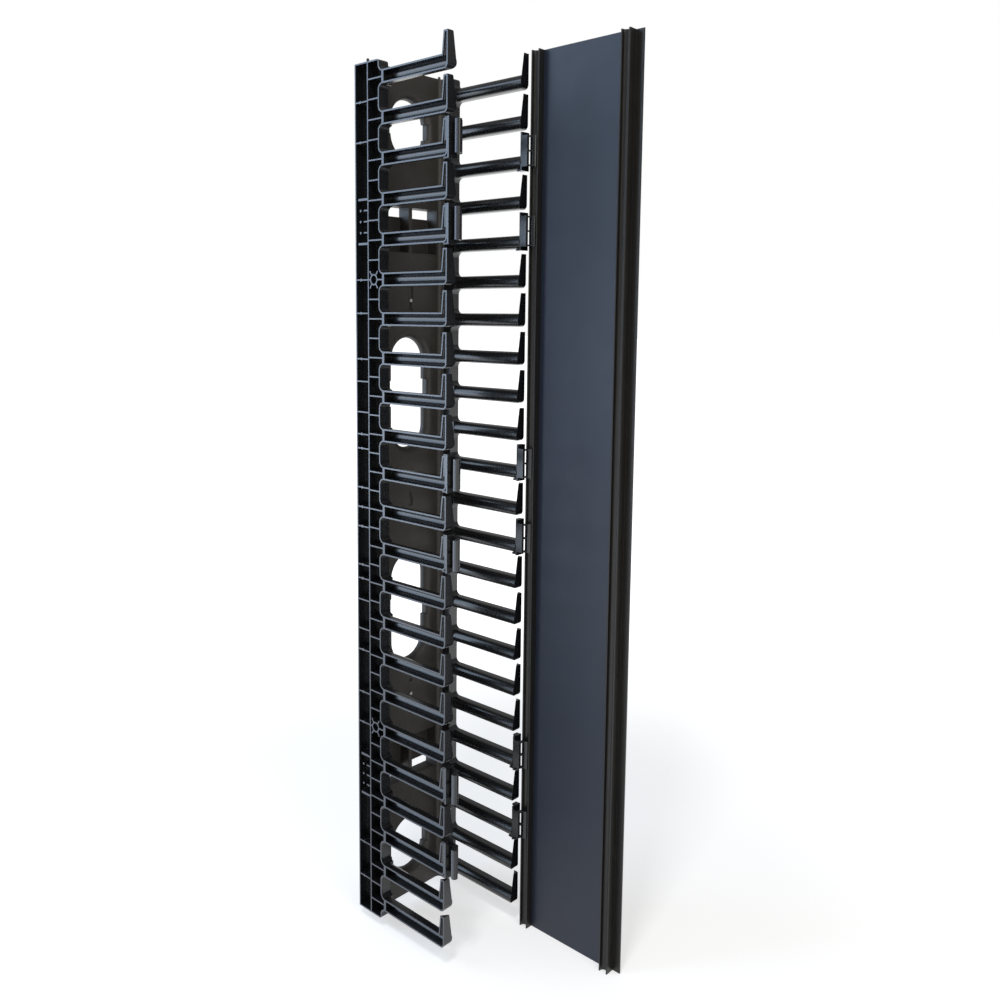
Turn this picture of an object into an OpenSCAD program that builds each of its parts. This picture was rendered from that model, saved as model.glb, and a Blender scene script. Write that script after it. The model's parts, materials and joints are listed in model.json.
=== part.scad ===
// Vertical cable manager: two finger combs on a split back plate, closed by a door
// that snaps on hinge rods at both sides. Origin: middle of the rack face, +Z up.

/* [Fingers] */
// Number of fingers on each side, an odd number
finger_count = 23; // [19:2:31]
// Pitch of the fingers, one rack unit
pitch = 44.45; // [42:0.05:50]
// Height of a finger's arm
arm_h = 15.2; // [13:0.1:18]
// Depth of a finger, from its outer face inwards
arm_d = 13.5; // [11:0.5:13.5]
// Reach of a finger in front of the side wall
reach = 103; // [80:1:130]
// Height of the upturned tip above its arm
tip_rise = 23.5; // [16:0.5:23.5]
// Thickness of the tip where it leaves the arm
tip_base = 8.6; // [7.5:0.1:10]
// Thickness of the tip at its top
tip_top = 6.1; // [5:0.1:7]
// Width of the tip's top, seen from the front
tip_top_w = 8.5; // [7:0.5:10]
// Radius of the lower front corner
toe_r = 5.5; // [2:0.5:7]
// Wall of the hollow fingers
shell = 1.8; // [1.4:0.1:2.2]

/* [Side walls] */
// Width over both side walls
body_w = 128; // [110:1:160]
// Depth of a side wall, from its outer ribs to its inner face
wall_d = 14; // [13.5:0.5:18]
// Distance from the rack face to the front of the side wall
wall_y = 48; // [44:1:60]
// Distance from the rack face to the front of the back plate
plate_y = 24; // [20:0.5:26]
// Thickness of the skin and the back plate
skin = 2.4; // [1.8:0.1:3]
// Thickness of the ribs
rib = 1.6; // [1.2:0.1:2.2]
// Radius of the corners where the fingers meet the side wall
root_r = 6; // [4:0.5:7]
// Height of the side wall beyond the outermost arms
wall_end = 12.4; // [8:0.2:16]
// Distance between the two side bolts, in rack units
bolt_span = 12; // [8:2:14]
// Bore of the side bolts
bolt_bore = 6.8; // [5:0.1:8]
// Bore of the recess round a side bolt
boss_bore = 9.6; // [9:0.1:11]

/* [Back plate] */
// Half width of the pass-throughs at their throat
pass_w = 26.5; // [20:0.5:30]
// Bend radius round the pass-throughs
bend_r = 8.5; // [5:0.5:10]
// Depth of the collar behind the front of the back plate
collar_d = 11; // [10.5:0.5:14]
// Half height of the two middle pass-throughs
mid_pass_h = 66.5; // [45:0.5:75]
// Half height of the two end pass-throughs
end_pass_h = 33.5; // [31:0.5:38]
// Depth of the strap pockets
pocket_d = 17.5; // [8:0.5:19]
// Width of the strap pockets
pocket_w = 44; // [24:0.5:46]
// Diameter of the screws in the seam
seam_screw = 2.6; // [2.2:0.1:3.2]

/* [Door] */
// Diameter of the hinge rods
rod_dia = 7.6; // [6:0.1:9]
// Running clearance between a rod and the door rail
rod_gap = 0.4; // [0.3:0.05:0.6]
// Distance of the rods inside the outer faces
rod_inset = 3.25; // [2:0.25:5]
// Distance of the rods in front of the fingertips
rod_front = 13.2; // [12.5:0.1:18]
// Wall of the door rails
rail_wall = 1.7; // [1.3:0.1:2.2]
// Half angle of the rail's mouth
mouth = 75; // [70:1:77]
// Thickness of the door panel
panel_t = 2.5; // [1.5:0.1:4]
// Overhang of the door rails beyond the rods
rail_over = 15.5; // [10:0.1:16.5]
// Length of the door beyond the side walls, at each end
door_over = 13.3; // [0:0.1:20]

/* [Hidden] */

$fn = 48;
eps = 0.01;
black = [0.06, 0.06, 0.07];
plate_black = [0.13, 0.12, 0.11];
rail_black = [0.10, 0.09, 0.08];
panel_black = [0.20, 0.23, 0.28];
steel = [0.55, 0.55, 0.56];

mid = (finger_count - 1) / 2;            // fingers above the middle one
half_h = mid * pitch + arm_h / 2 + wall_end;
half_w = body_w / 2;
inner_x = half_w - wall_d;               // inner face of the side walls
tip_y = -wall_y - reach;                 // front faces of the fingers
gap_h = pitch - arm_h;                   // clear height between two arms
window_y = -wall_y + root_r;             // rear edge of the finger gaps
divider_y = skin - plate_y;              // rear face of the back plate
rod_x = half_w - rod_inset;
rod_y = tip_y - rod_front;
rod_r = rod_dia / 2;
cup_r = rod_r + rod_gap;
cup_outer = cup_r + rail_wall;
rail_foot = cup_outer + 2;               // rod axis to the inner face of the panel
rail_back = rail_foot + panel_t + 1.6;   // rod axis to the back of a rail
groove_d = 4;                            // panel edge beyond the rod axis, in the rail's groove
door_half_h = half_h + door_over;
bolt_z = bolt_span / 2 * pitch;
boss_y = -(wall_y + plate_y) / 2 + 4;
boss_r = boss_bore / 2 + rib;
flare_w = pass_w + bend_r;               // half width of the cut in the back plate
end_pass_z = (mid - 1) * pitch;
mid_pass_z = 3 * pitch;
pocket_z = (mid - 3.64) * pitch;
pocket_h = 28.2;                         // half height of a strap pocket
pocket_x = 0.8;                          // from the seam to a strap pocket
pocket_wall = 1.8;
screw_z = 5.5 * pitch;
clip_steps = [mid - 2, mid - 4, 1, -1, 4 - mid, 2 - mid];
group_ends = [mid + 1, mid - 5, 0, 5 - mid, -mid - 1];
nose_r = 4;                              // round front corner at each end of a side wall
clip_w = 12.5;
clip_wall = 2.2;
clip_hook = 2;
notch_deep = 3;                          // depth of the steps in the sides of the collars
block_z = pocket_z + 5.5;                // middle of a rib block on the rear flange

// A rectangle from corner a to corner b
module box2(a, b) {
    translate(a) square(b - a);
}

// Turns a drawing of depth and height into a slab from the outer face inwards
module slab(from, to) {
    translate([half_w - to, 0, 0])
        rotate([90, 0, 90])
            linear_extrude(to - from)
                children();
}

// The arm's half-round section: flat outer face at 0, round inner side
module arm_section(inset = 0) {
    r = arm_h / 2 - inset;
    translate([0, -r]) square([arm_d - arm_h / 2, 2 * r]);
    translate([arm_d - arm_h / 2, 0]) circle(r);
}

// The finger's tip seen from the front, tapering upwards from the arm's round side
module tip_section(inset = 0) {
    top = arm_h / 2 + tip_rise - inset;
    arm_section(inset);
    polygon([[0, -eps], [arm_d - inset, -eps], [arm_d - inset - 0.6, arm_h * 0.32],
        [tip_top_w - inset + 0.8, top - 2], [tip_top_w - inset - 0.6, top], [0, top]]);
}

// The arm seen from the side, with its round toe
module arm_side(inset = 0) {
    r = toe_r - inset;
    h = arm_h / 2 - inset;
    difference() {
        box2([tip_y + inset, -h], [-wall_y - inset, h]);
        translate([tip_y + inset, -h])
            difference() {
                translate([-1, -1]) square(r + 1);
                translate([r, r]) circle(r);
            }
    }
}

// The upturned tip seen from the side
module tip_side(inset = 0) {
    top = arm_h / 2 + tip_rise - inset;
    slope = (tip_base - tip_top) / tip_rise;
    base_y = tip_y + tip_base - inset;
    polygon([[tip_y + inset, 0], [base_y + slope * arm_h / 2, 0],
        [tip_y + tip_top - inset + slope * inset, top], [tip_y + inset, top]]);
}

// One finger of the right comb, centred on its arm; anchored ones carry a clip
module finger(anchored = false) {
    difference() {
        union() {
            intersection() {
                slab(0, arm_d) arm_side();
                along_y() arm_section();
            }
            tip(0, 0);
        }
        intersection() {
            slab(-1, arm_d - shell) arm_side(shell);
            along_y() translate([-1, 0]) union() {
                arm_section(shell);
                translate([0, -arm_h / 2 + shell]) square([1.2, arm_h - 2 * shell]);
            }
        }
        tip(-1, shell);
        slab(-1, 1) tip_side(shell);
    }
    if (anchored)
        slab(0.5, 4)
            box2([tip_y + shell, arm_h / 2 + 1], [tip_y + tip_top - shell + 0.4, arm_h / 2 + tip_rise - shell]);
}

// The upturned tip, three-cornered seen from above, starting at a depth from the outer face
module tip(from, inset) {
    turn = atan(tip_top / tip_top_w);
    lean = atan((tip_base - tip_top) * cos(turn) / tip_rise);
    difference() {
        intersection() {
            slab(from, arm_d - inset) tip_side(inset);
            along_y() tip_section(inset);
        }
        translate([half_w, tip_y + tip_top, arm_h / 2 + tip_rise])
            rotate([0, 0, turn])
                rotate([lean, 0, 0])
                    translate([-40, -inset, -60]) cube([80, 30, 80]);
    }
}

// Turns a drawing of width and height into a bar along the finger
module along_y() {
    translate([half_w, -wall_y, 0])
        rotate([90, 0, 0])
            mirror([1, 0, 0])
                linear_extrude(reach)
                    children();
}

// Fingers numbered from the middle one, between two numbers
module comb(upper, lower) {
    for (k = [-mid : mid])
        if (k < upper && k >= lower)
            translate([0, 0, k * pitch])
                finger(len(search(k, clip_steps)) > 0);
}

// One finger gap cut into the side wall, grown by a margin
module window(margin) {
    r = root_r + margin;
    h = gap_h / 2 + margin;
    y = window_y + margin;
    box2([-wall_y - 5, -h], [y - r, h]);
    box2([-wall_y - 5, r - h], [y, h - r]);
    for (s = [-1, 1]) translate([y - r, s * (h - r)]) circle(r);
}

// All the finger gaps, with the open ones above and below the outermost arms
module windows(margin) {
    for (k = [-mid - 0.5 : mid + 0.5])
        translate([0, k * pitch]) window(margin);
    for (s = [-1, 1])
        box2([-wall_y - 5, s > 0 ? half_h - wall_end + root_r : -half_h - 1],
            [window_y + margin, s > 0 ? half_h + 1 : -half_h + wall_end - root_r]);
}

// The side wall seen from the side
module wall_side() {
    difference() {
        box2([-wall_y, -half_h], [divider_y, half_h]);
        windows(0);
        for (s = [-1, 1])
            translate([window_y, s * half_h])
                difference() {
                    square(2 * nose_r, center = true);
                    translate([nose_r, -s * nose_r]) circle(nose_r);
                }
    }
}

// Ribs of the side wall, full depth
module wall_ribs() {
    windows(rib);
    box2([divider_y - rib, -half_h], [divider_y, half_h]);
    box2([-wall_y, -half_h + wall_end], [-wall_y + rib, half_h - wall_end]);
    for (s = [-1, 1]) translate([0, s * (half_h - rib / 2)])
        square([4 * wall_y, rib], center = true);
    for (k = [-mid : 0.5 : mid])
        translate([-wall_y, k * pitch - rib / 2]) square([wall_y + divider_y, rib]);
    for (s = [-1, 1])
        translate([boss_y, s * bolt_z]) {
            circle(boss_r);
            for (a = [55, -55, 125, -125])
                rotate(a) translate([0, -rib / 2]) square([12, rib]);
        }
}

module side_wall() {
    difference() {
        union() {
            slab(wall_d - skin, wall_d) wall_side();
            slab(0, wall_d) intersection() {
                wall_side();
                wall_ribs();
            }
        }
        for (s = [-1, 1])
            translate([half_w + 1, boss_y, s * bolt_z])
                rotate([0, -90, 0]) {
                    cylinder(h = wall_d - skin + 1, d = boss_bore);
                    cylinder(h = wall_d + 2, d = bolt_bore);
                }
    }
}

// Heights of the cross ribs of the rear flange, in rack units from the middle
flange_ribs = [0, 0.53, 1.58, 1.96, 3.95, 5.14, 6, 9.48, 10.48];
plain_ribs = [2.55, 3.36];
block_half = 25;                         // half height of the rib block at a strap pocket

// Flange behind the back plate: cross ribs with round pips where the ejector pins pushed
module flange_ribs_side() {
    pip_y = divider_y * 0.43;
    box2([-rib, -half_h], [0, half_h]);
    for (s = [-1, 1]) {
        translate([divider_y, s * (half_h - rib / 2) - rib / 2]) square([-divider_y, rib]);
        for (u = concat(flange_ribs, plain_ribs))
            translate([divider_y, s * u * pitch - rib / 2]) square([-divider_y, rib]);
        for (u = flange_ribs)
            translate([pip_y, s * u * pitch]) circle(rib);
        translate([divider_y, s * block_z]) {
            box2([0, -block_half - 1.3], [-divider_y * 0.75, -block_half + 1.3]);
            box2([0, block_half - 1.3], [-divider_y * 0.75, block_half + 1.3]);
            for (k = [-1 : 1]) translate([0, k * block_half / 2]) {
                box2([0, -rib / 2], [-divider_y * 0.3, rib / 2]);
                translate([pip_y - divider_y, 0]) circle(1.4);
            }
        }
    }
}

module rear_flange() {
    slab(wall_d - skin, wall_d) box2([divider_y, -half_h], [0, half_h]);
    slab(0, wall_d) flange_ribs_side();
    // Peg that lines up with the next manager above
    translate([half_w - 8, divider_y * 0.65, half_h]) {
        cylinder(h = 4.5, d = 3.4);
        translate([0, 0, 4.5]) sphere(d = 3.4);
    }
}

// Obround with half width w and half height h
module obround(w, h) {
    box2([-w, w - h], [w, h - w]);
    for (s = [-1, 1]) translate([0, s * (h - w)]) circle(w);
}

// Cut-outs of one half of the back plate, seen from the front
module plate_cuts() {
    for (s = [-1, 1]) {
        translate([0, s * mid_pass_z]) obround(flare_w, mid_pass_h + bend_r);
        translate([0, s * end_pass_z]) obround(flare_w, end_pass_h + bend_r);
        translate([pocket_x, s * pocket_z - pocket_h]) square([pocket_w, 2 * pocket_h]);
        translate([0, s * screw_z]) circle(d = seam_screw);
    }
}

// Blind recesses along the seam: lower end and upper end in rack units, half width
seam_recesses = [[5.548, 5.863, 3.7], [5.3, 5.454, 1.5], [4.985, 5.3, 3.3], [0.112, 0.247, 1.5],
    [-0.115, 0.112, 3.3], [-5.152, -5.062, 1.8], [-6.097, -6.007, 1.8]];

module back_plate() {
    difference() {
        translate([0, divider_y, 0])
            rotate([90, 0, 0])
                linear_extrude(skin)
                    difference() {
                        box2([0, -half_h], [inner_x, half_h]);
                        plate_cuts();
                    }
        for (r = seam_recesses)
            translate([-1, -plate_y - 1, r[0] * pitch])
                cube([1 + r[2], 1 + skin - 0.9, (r[1] - r[0]) * pitch]);
    }
    // Round between the plate and the side wall
    difference() {
        translate([inner_x - root_r, -plate_y - root_r, -half_h])
            cube([root_r, root_r, 2 * half_h]);
        translate([inner_x - root_r, -plate_y - root_r, -half_h - 1])
            cylinder(h = 2 * half_h + 2, r = root_r);
    }
}

// Section of a collar: bend from the front of the plate into the throat, then a lip
module collar_section(step = 0) {
    r = bend_r - step;
    intersection() {
        translate([flare_w, r])
            difference() {
                circle(r);
                circle(r - shell);
            }
        box2([pass_w + step, 0], [flare_w, r]);
    }
    box2([pass_w + step, r - eps], [pass_w + step + shell, collar_d]);
}

// Right half of a collar, with a step in its side
module half_collar(half_height, notch) {
    straight = half_height - pass_w;
    inside = notch / 2 - shell;
    translate([0, -plate_y, 0]) {
        difference() {
            union() {
                translate([0, 0, -straight]) linear_extrude(2 * straight) collar_section();
                translate([0, 0, straight]) quarter_bend();
                mirror([0, 0, 1]) translate([0, 0, straight]) quarter_bend();
            }
            translate([pass_w - 10, -1, -inside]) cube([bend_r + 9, collar_d + 2, 2 * inside]);
        }
        translate([0, 0, -inside]) linear_extrude(2 * inside) collar_section(notch_deep);
        // Ends of the step
        for (z = [-inside - shell, inside])
            translate([0, 0, z]) linear_extrude(shell)
                intersection() {
                    box2([pass_w, bend_r - notch_deep], [pass_w + notch_deep + shell, collar_d]);
                    translate([flare_w, collar_d]) square([2 * bend_r, 4 * bend_r], center = true);
                }
    }
}

// Upper right quarter of a collar's round end
module quarter_bend() {
    rotate([-90, 0, 0])
        rotate_extrude(angle = -90, $fn = 96)
            collar_section();
}

module pass_collar(z, half_height, notch) {
    translate([0, 0, z]) {
        half_collar(half_height, notch);
        mirror([1, 0, 0]) half_collar(half_height, notch);
    }
}

// Pocket behind the plate with a slot for a strap in its floor; side is 1 above the middle
module strap_pocket(side) {
    w = pocket_w;
    h = pocket_h;
    slot_h = 10.5;
    slot_z = h - pocket_wall - slot_h;
    translate([pocket_x, -plate_y, side * pocket_z])
        mirror([0, 0, side > 0 ? 0 : 1])
            difference() {
                translate([0, 0, -h]) cube([w, pocket_d, 2 * h]);
                translate([pocket_wall, -1, -h + pocket_wall])
                    cube([w - 2 * pocket_wall, pocket_d - pocket_wall + 1, 2 * (h - pocket_wall)]);
                translate([pocket_wall, 0, slot_z])
                    cube([w - 2 * pocket_wall, pocket_d + 1, slot_h]);
            }
}

// Clip on a fingertip: saddle, inner wall, three webs and the rod that the door snaps on
module clip() {
    low = -arm_h / 2;
    high = arm_h / 2 + tip_rise;
    middle = (low + high) / 2;
    web_gap = 16;
    web_t = 1.8;
    rod_len = 2 * web_gap + 2.4;
    web_half = 20;                       // half angle of a web at the rod
    web_dir = 141;
    near_x = rod_front - clip_wall;      // rod axis to the saddle, front to back
    side_x = rod_x - half_w + clip_w;    // rod axis to the inner wall
    // Saddle with its hooks over the tip and under the arm
    translate([half_w - clip_w, tip_y - clip_wall, low - clip_hook])
        cube([clip_w, clip_wall, high - low + 2 * clip_hook]);
    translate([half_w - tip_top_w + 1, tip_y - eps, high])
        cube([tip_top_w - 1.5, tip_top * 0.7, clip_hook]);
    translate([half_w - arm_d / 2 - 3, tip_y - eps, low - clip_hook])
        cube([8, toe_r + 2, clip_hook]);
    // Inner wall
    translate([half_w - clip_w, rod_y + side_x * tan(180 - web_dir - web_half), middle - rod_len / 2])
        cube([shell, near_x - side_x * tan(180 - web_dir - web_half) + eps, rod_len]);
    for (k = [-1 : 1])
        translate([rod_x, rod_y, middle + k * web_gap - web_t / 2])
            linear_extrude(web_t)
                polygon([[0, 0], [-near_x * tan(web_dir - web_half - 90), near_x + eps],
                    [-side_x, near_x + eps], [-side_x, side_x * tan(180 - web_dir - web_half)]]);
    translate([rod_x, rod_y, middle - rod_len / 2]) cylinder(h = rod_len, r = rod_r);
}

module clip_at(k) {
    translate([0, 0, clip_steps[k - 1] * pitch]) clip();
}

// Door rail: an open cup round the rods, a groove for the panel's edge and a flange beyond it
module rail_section() {
    lip = asin((rail_wall / 2) / (cup_r + rail_wall / 2));
    open = mouth + lip;
    difference() {
        circle(cup_outer);
        circle(cup_r);
        polygon([[0, 0], [-20, 20 * tan(open)], [-20, -20 * tan(open)]]);
    }
    for (s = [-1, 1])
        rotate(s * (180 - open)) translate([cup_r + rail_wall / 2, 0]) circle(rail_wall / 2);
    difference() {
        union() {
            box2([0, -cup_outer], [rail_back, cup_outer]);
            box2([rail_back - rail_wall, 0], [rail_back, rail_over]);
        }
        circle(cup_r + rail_wall / 2);
        box2([rail_foot, -cup_outer - 1], [rail_foot + panel_t, groove_d]);
    }
}

module door_rail() {
    translate([0, 0, -door_half_h]) linear_extrude(2 * door_half_h) rail_section();
}

// Where the two rails sit on the open door
module at_hinge() {
    translate([rod_x, rod_y, 0]) children();
}

module at_latch() {
    translate([rod_x, rod_y - 2 * rod_x, 0]) mirror([0, 1, 0]) children();
}

module door_panel() {
    color(panel_black)
        at_hinge() translate([rail_foot, -2 * rod_x - groove_d, -door_half_h])
            cube([panel_t, 2 * (rod_x + groove_d), 2 * door_half_h]);
}

module seam_screw_at(z) {
    translate([0, -plate_y, z]) rotate([90, 0, 0]) {
        cylinder(h = 1.4, d = seam_screw * 1.6);
        translate([0, 0, -skin - 7]) cylinder(h = skin + 7.5, d = seam_screw - 0.2);
    }
}

module seam_nut_at(z) {
    translate([0, divider_y, z]) rotate([-90, 0, 0]) difference() {
        union() {
            cylinder(h = 1, d = seam_screw * 2.6);
            cylinder(h = 3.2, d = seam_screw * 1.9, $fn = 6);
        }
        translate([0, 0, -1]) cylinder(h = 6, d = seam_screw - 0.1);
    }
}

module left() {
    mirror([1, 0, 0]) children();
}

color(black) left() side_wall();  // side_wall_left
color(black) side_wall();  // side_wall_right
color(black) left() rear_flange();  // rear_flange_left
color(black) rear_flange();  // rear_flange_right
color(plate_black) left() back_plate();  // back_plate_left
color(plate_black) back_plate();  // back_plate_right
color(black) left() comb(group_ends[0], group_ends[1]);  // fingers_left_top
color(black) left() comb(group_ends[1], group_ends[2]);  // fingers_left_upper
color(black) left() comb(group_ends[2], group_ends[3]);  // fingers_left_lower
color(black) left() comb(group_ends[3], group_ends[4]);  // fingers_left_bottom
color(black) comb(group_ends[0], group_ends[1]);  // fingers_right_top
color(black) comb(group_ends[1], group_ends[2]);  // fingers_right_upper
color(black) comb(group_ends[2], group_ends[3]);  // fingers_right_lower
color(black) comb(group_ends[3], group_ends[4]);  // fingers_right_bottom
color(plate_black) pass_collar(end_pass_z, end_pass_h, 22);  // pass_collar_top
color(plate_black) pass_collar(mid_pass_z, mid_pass_h, 35);  // pass_collar_upper
color(plate_black) pass_collar(-mid_pass_z, mid_pass_h, 35);  // pass_collar_lower
color(plate_black) pass_collar(-end_pass_z, end_pass_h, 22);  // pass_collar_bottom
color(plate_black) left() strap_pocket(1);  // strap_pocket_left_upper
color(plate_black) left() strap_pocket(-1);  // strap_pocket_left_lower
color(plate_black) strap_pocket(1);  // strap_pocket_right_upper
color(plate_black) strap_pocket(-1);  // strap_pocket_right_lower
color(black) clip_at(1);  // hinge_clip_1
color(black) clip_at(2);  // hinge_clip_2
color(black) clip_at(3);  // hinge_clip_3
color(black) clip_at(4);  // hinge_clip_4
color(black) clip_at(5);  // hinge_clip_5
color(black) clip_at(6);  // hinge_clip_6
color(black) left() clip_at(1);  // latch_clip_1
color(black) left() clip_at(2);  // latch_clip_2
color(black) left() clip_at(3);  // latch_clip_3
color(black) left() clip_at(4);  // latch_clip_4
color(black) left() clip_at(5);  // latch_clip_5
color(black) left() clip_at(6);  // latch_clip_6
door_panel();
color(rail_black) at_hinge() door_rail();  // door_hinge_rail
color(rail_black) at_latch() door_rail();  // door_latch_rail
color(steel) for (s = [-1, 1]) seam_screw_at(s * screw_z);  // seam_screws
color(steel) for (s = [-1, 1]) seam_nut_at(s * screw_z);  // seam_nuts
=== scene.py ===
import json
import math

import bpy
import bmesh
from mathutils import Matrix, Vector


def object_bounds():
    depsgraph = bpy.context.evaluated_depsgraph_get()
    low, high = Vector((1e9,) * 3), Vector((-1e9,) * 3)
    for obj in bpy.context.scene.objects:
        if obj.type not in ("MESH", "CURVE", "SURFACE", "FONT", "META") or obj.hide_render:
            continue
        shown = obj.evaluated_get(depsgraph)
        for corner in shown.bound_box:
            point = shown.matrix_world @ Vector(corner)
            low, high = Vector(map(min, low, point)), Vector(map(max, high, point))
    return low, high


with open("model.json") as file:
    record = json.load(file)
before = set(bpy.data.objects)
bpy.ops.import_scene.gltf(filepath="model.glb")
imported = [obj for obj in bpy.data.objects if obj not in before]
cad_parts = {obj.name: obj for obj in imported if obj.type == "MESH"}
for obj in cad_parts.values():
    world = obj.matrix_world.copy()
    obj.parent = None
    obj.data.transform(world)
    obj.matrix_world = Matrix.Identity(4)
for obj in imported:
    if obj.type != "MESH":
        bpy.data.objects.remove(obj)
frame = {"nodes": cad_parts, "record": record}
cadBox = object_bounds()
nodes = frame["nodes"]
print("frame loaded:", len(nodes), "nodes")

# what all the finishes share
mouldLook = {"coatRough": 0.12, "grainPush": 0.35, "scuffTimes": 7, "scuffFrom": 0.3, "scuffTo": 0.7,
             # rimBlend is the width over which the painted rim highlight fades in
             "edgeSamples": 8, "rimBlend": 0.0003}

# finishes, one dictionary for each plastic; colours are linear, lengths in metres
combLook = {"colour": (0.0050, 0.0054, 0.0064), "worn": (0.0088, 0.0095, 0.0114), "rough": (0.24, 0.31),
            "grain": 900.0, "grainDepth": 0.000006, "flow": 14.0, "edge": 0.0003, "coat": 0.35,
            # the rim colour is a painted highlight for the outer faces beyond rimFrom
            "rimHighlight": (0.060, 0.069, 0.088), "rimFrom": 0.06355}
plateLook = {"colour": (0.026, 0.023, 0.019), "worn": (0.038, 0.034, 0.029), "rough": (0.42, 0.54),
             "grain": 1100.0, "grainDepth": 0.00002, "flow": 12.0, "edge": 0.0006, "coat": 0.0}
railLook = {"colour": (0.0080, 0.0073, 0.0063), "worn": (0.014, 0.013, 0.0115), "rough": (0.32, 0.42),
            "grain": 1100.0, "grainDepth": 0.00001, "flow": 8.0, "edge": 0.0003, "coat": 0.0}
doorLook = {"colour": (0.0105, 0.0165, 0.0320), "worn": (0.0155, 0.0240, 0.0460), "rough": (0.42, 0.47),
            "grain": 1500.0, "grainDepth": 0.000008, "flow": 5.0, "edge": 0.0004, "coat": 0.0}
zincLook = {"colour": (0.40, 0.40, 0.41), "worn": (0.52, 0.52, 0.53), "rough": (0.26, 0.42),
            "grain": 900.0, "grainDepth": 0.00003, "flow": 120.0, "edge": 0.0002, "coat": 0.0}


# input names take an underscore for a space
def addNode(tree, kind, place, **values):
    node = tree.nodes.new(kind)
    node.location = place
    for name, value in values.items():
        node.inputs[name.replace("_", " ")].default_value = value
    return node


# painted highlight: the faces at the very outside of both combs get a paler colour that stands in for the
# light they catch
def addRimHighlight(tree, where, tint, shader, look):
    link = tree.links.new
    split = addNode(tree, "ShaderNodeSeparateXYZ", (-900, 600))
    link(where.outputs["Object"], split.inputs[0])
    side = addNode(tree, "ShaderNodeMath", (-720, 600))
    side.operation = "ABSOLUTE"
    link(split.outputs["X"], side.inputs[0])
    rimHighlightMask = addNode(tree, "ShaderNodeMapRange", (-550, 600))
    rimHighlightMask.inputs["From Min"].default_value = look["rimFrom"]
    rimHighlightMask.inputs["From Max"].default_value = look["rimFrom"] + mouldLook["rimBlend"]
    link(side.outputs[0], rimHighlightMask.inputs["Value"])
    rimHighlight = addNode(tree, "ShaderNodeMix", (-250, 400))
    rimHighlight.data_type = "RGBA"
    rimHighlight.inputs["B"].default_value = (*look["rimHighlight"], 1)
    link(rimHighlightMask.outputs["Result"], rimHighlight.inputs["Factor"])
    link(tint.outputs["Result"], rimHighlight.inputs["A"])
    link(rimHighlight.outputs["Result"], shader.inputs["Base Color"])


# colour that drifts slowly, gloss that varies with fine scuffs, grain and softened edges
def mouldedPlastic(name, look, metal=0.0):
    material = bpy.data.materials.new(name)
    material.use_nodes = True
    tree = material.node_tree
    link = tree.links.new
    shader = tree.nodes["Principled BSDF"]
    shader.inputs["Metallic"].default_value = metal
    where = addNode(tree, "ShaderNodeTexCoord", (-1200, 0))
    flow = addNode(tree, "ShaderNodeTexNoise", (-900, 200), Scale=look["flow"], Detail=4.0, Roughness=0.55)
    link(where.outputs["Object"], flow.inputs["Vector"])
    tint = addNode(tree, "ShaderNodeMix", (-500, 250))
    tint.data_type = "RGBA"
    tint.inputs["A"].default_value = (*look["colour"], 1)
    tint.inputs["B"].default_value = (*look["worn"], 1)
    link(flow.outputs["Fac"], tint.inputs["Factor"])
    link(tint.outputs["Result"], shader.inputs["Base Color"])
    shader.inputs["Coat Weight"].default_value = look["coat"]
    shader.inputs["Coat Roughness"].default_value = mouldLook["coatRough"]
    scuffScale = look["flow"] * mouldLook["scuffTimes"]
    scuff = addNode(tree, "ShaderNodeTexNoise", (-900, -50), Scale=scuffScale, Detail=6.0, Roughness=0.6)
    link(where.outputs["Object"], scuff.inputs["Vector"])
    gloss = addNode(tree, "ShaderNodeMapRange", (-500, -50))
    gloss.inputs["From Min"].default_value = mouldLook["scuffFrom"]
    gloss.inputs["From Max"].default_value = mouldLook["scuffTo"]
    gloss.inputs["To Min"].default_value = look["rough"][0]
    gloss.inputs["To Max"].default_value = look["rough"][1]
    link(scuff.outputs["Fac"], gloss.inputs["Value"])
    link(gloss.outputs["Result"], shader.inputs["Roughness"])
    # painted highlight on the combs' outermost faces
    if "rimHighlight" in look:
        addRimHighlight(tree, where, tint, shader, look)
    grain = addNode(tree, "ShaderNodeTexNoise", (-900, -350), Scale=look["grain"], Detail=2.0, Roughness=0.5)
    link(where.outputs["Object"], grain.inputs["Vector"])
    softEdge = addNode(tree, "ShaderNodeBevel", (-500, -500), Radius=look["edge"])
    softEdge.samples = mouldLook["edgeSamples"]
    bump = addNode(tree, "ShaderNodeBump", (-250, -350), Strength=mouldLook["grainPush"],
                   Distance=look["grainDepth"])
    link(grain.outputs["Fac"], bump.inputs["Height"])
    link(softEdge.outputs["Normal"], bump.inputs["Normal"])
    link(bump.outputs["Normal"], shader.inputs["Normal"])
    return material


finishes = {"comb_plastic": mouldedPlastic("combPlastic", combLook),
            "plate_plastic": mouldedPlastic("platePlastic", plateLook),
            "rail_plastic": mouldedPlastic("railPlastic", railLook),
            "door_plastic": mouldedPlastic("doorPlastic", doorLook),
            "zinc_steel": mouldedPlastic("zincSteel", zincLook, metal=1.0)}

for part in frame["record"]["subparts"]:
    piece = nodes[part["node"]]
    piece.data.materials.clear()
    piece.data.materials.append(finishes[part["material_slot"]])
print("finishes on", len(nodes), "nodes")

# white floor that keeps the shadow, and a white world behind it
stageLook = {"floor": 0.80, "nearGlow": 0.50, "farGlow": 1.0, "near": 0.45, "far": 1.3, "world": 0.30,
             "size": 30.0, "drop": 0.0005, "rough": 0.9}


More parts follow.
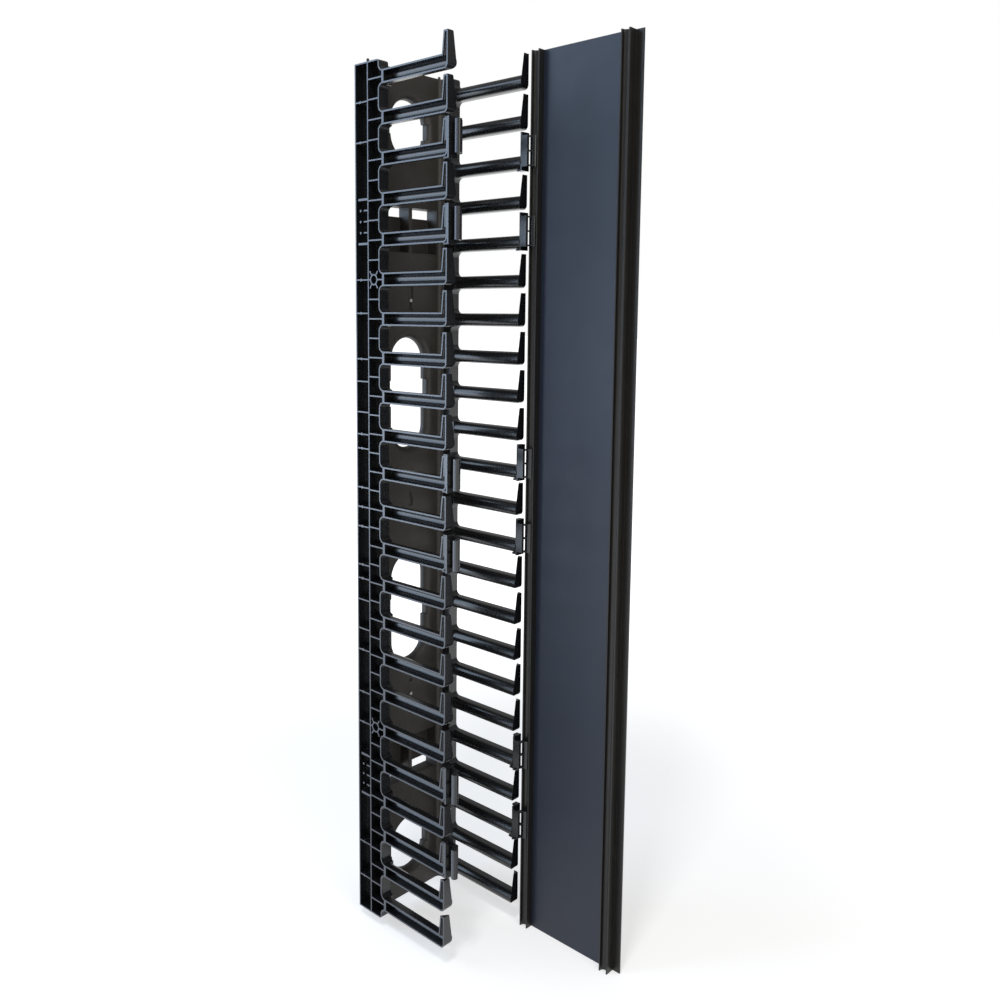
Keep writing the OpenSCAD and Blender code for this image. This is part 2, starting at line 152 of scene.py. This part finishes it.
def makeStage(look):
    mesh = bpy.data.meshes.new("floor")
    bm = bmesh.new()
    bmesh.ops.create_grid(bm, x_segments=1, y_segments=1, size=look["size"])
    bmesh.ops.translate(bm, verts=bm.verts, vec=(0, 0, cadBox[0][2] - look["drop"]))
    bm.to_mesh(mesh)
    bm.free()
    floor = bpy.data.objects.new("floor", mesh)
    bpy.context.scene.collection.objects.link(floor)
    paint = bpy.data.materials.new("floorPaint")
    paint.use_nodes = True
    tree = paint.node_tree
    link = tree.links.new
    shader = tree.nodes["Principled BSDF"]
    shader.inputs["Base Color"].default_value = (look["floor"], look["floor"], look["floor"], 1)
    shader.inputs["Roughness"].default_value = look["rough"]
    shader.inputs["Emission Color"].default_value = (1, 1, 1, 1)
    path = addNode(tree, "ShaderNodeLightPath", (-700, -300))
    seen = addNode(tree, "ShaderNodeMath", (-450, -300))
    seen.operation = "MAXIMUM"
    link(path.outputs["Is Camera Ray"], seen.inputs[0])
    link(path.outputs["Is Glossy Ray"], seen.inputs[1])
    spot = addNode(tree, "ShaderNodeTexCoord", (-1100, -500))  # the glow rises with the distance on the floor
    flat = addNode(tree, "ShaderNodeVectorMath", (-900, -500))
    flat.operation = "MULTIPLY"
    flat.inputs[1].default_value = (1, 1, 0)
    link(spot.outputs["Object"], flat.inputs[0])
    away = addNode(tree, "ShaderNodeVectorMath", (-700, -500))
    away.operation = "LENGTH"
    link(flat.outputs[0], away.inputs[0])
    rise = addNode(tree, "ShaderNodeMapRange", (-450, -500))
    rise.interpolation_type = "SMOOTHSTEP"
    rise.inputs["From Min"].default_value = look["near"]
    rise.inputs["From Max"].default_value = look["far"]
    rise.inputs["To Min"].default_value = look["nearGlow"]
    rise.inputs["To Max"].default_value = look["farGlow"]
    link(away.outputs["Value"], rise.inputs["Value"])
    glow = addNode(tree, "ShaderNodeMath", (-250, -300))
    glow.operation = "MULTIPLY"
    link(rise.outputs["Result"], glow.inputs[1])
    link(seen.outputs[0], glow.inputs[0])
    link(glow.outputs[0], shader.inputs["Emission Strength"])
    mesh.materials.append(paint)

    world = bpy.data.worlds.new("room")
    bpy.context.scene.world = world
    world.use_nodes = True
    tree = world.node_tree
    link = tree.links.new
    ground = tree.nodes["Background"]
    path = addNode(tree, "ShaderNodeLightPath", (-900, 200))  # white behind, dimmer as a light
    seen = addNode(tree, "ShaderNodeMath", (-650, 200))
    seen.operation = "MAXIMUM"
    link(path.outputs["Is Camera Ray"], seen.inputs[0])
    link(path.outputs["Is Transmission Ray"], seen.inputs[1])
    strength = addNode(tree, "ShaderNodeMix", (-400, 200))
    strength.data_type = "FLOAT"
    strength.inputs["A"].default_value = look["world"]
    strength.inputs["B"].default_value = 1.0
    link(seen.outputs[0], strength.inputs["Factor"])
    link(strength.outputs["Result"], ground.inputs["Strength"])
    ground.inputs["Color"].default_value = (1, 1, 1, 1)


makeStage(stageLook)

# a large cool window behind on the left, a weak front box, a small one above for the glints
lampLook = {"leftWindow": {"at": (-1.55, 1.45, 0.45), "to": (0, -0.1, 0), "size": (1.5, 2.2), "power": 34,
                           "colour": (0.60, 0.77, 1.0)},
            "frontBox": {"at": (-0.6, -2.2, 1.2), "to": (0, -0.1, 0), "size": (1.4, 1.4), "power": 14,
                         "colour": (1.0, 0.97, 0.92)},
            "glintBox": {"at": (-1.1, -0.7, 1.9), "to": (0, -0.1, 0), "size": (0.35, 0.35), "power": 16,
                         "colour": (1.0, 1.0, 1.0)}}


def makeLamps(look):
    for name, one in look.items():
        lamp = bpy.data.lights.new(name, "AREA")
        lamp.shape = "RECTANGLE"
        lamp.size, lamp.size_y = one["size"]
        lamp.energy = one["power"]
        lamp.color = one["colour"]
        holder = bpy.data.objects.new(name, lamp)
        holder.location = one["at"]
        aim = Vector(one["to"]) - Vector(one["at"])
        holder.rotation_euler = aim.to_track_quat("-Z", "Y").to_euler()
        bpy.context.scene.collection.objects.link(holder)


makeLamps(lampLook)
print("stage and lamps ready")

# where the camera stands and how it is turned, in metres and degrees
cameraLook = {"at": (-0.78945, -0.89143, 0.22489), "turn": 47.054, "down": 6.55, "roll": 0.548,
              "lens": 34.812, "shift": (0.0097, -0.0713), "sensor": 36, "clip": 0.01}


def makeCamera(look):
    turn, down, roll = (math.radians(look[key]) for key in ("turn", "down", "roll"))
    ahead = Vector((math.sin(turn) * math.cos(down), math.cos(turn) * math.cos(down), -math.sin(down)))
    right = Vector((math.cos(turn), -math.sin(turn), 0))
    up = right.cross(ahead)
    sideways = math.cos(roll) * right + math.sin(roll) * up
    upwards = math.cos(roll) * up - math.sin(roll) * right
    camera = bpy.data.cameras.new("camera")
    camera.sensor_width = look["sensor"]
    camera.lens = look["lens"]
    camera.shift_x, camera.shift_y = look["shift"]
    camera.clip_start = look["clip"]
    holder = bpy.data.objects.new("camera", camera)
    pose = Matrix((sideways, upwards, -ahead)).transposed().to_4x4()
    pose.translation = Vector(look["at"])
    holder.matrix_world = pose
    bpy.context.scene.collection.objects.link(holder)
    bpy.context.scene.camera = holder


makeCamera(cameraLook)
bpy.context.scene.view_settings.view_transform = "Standard"
print("camera set")
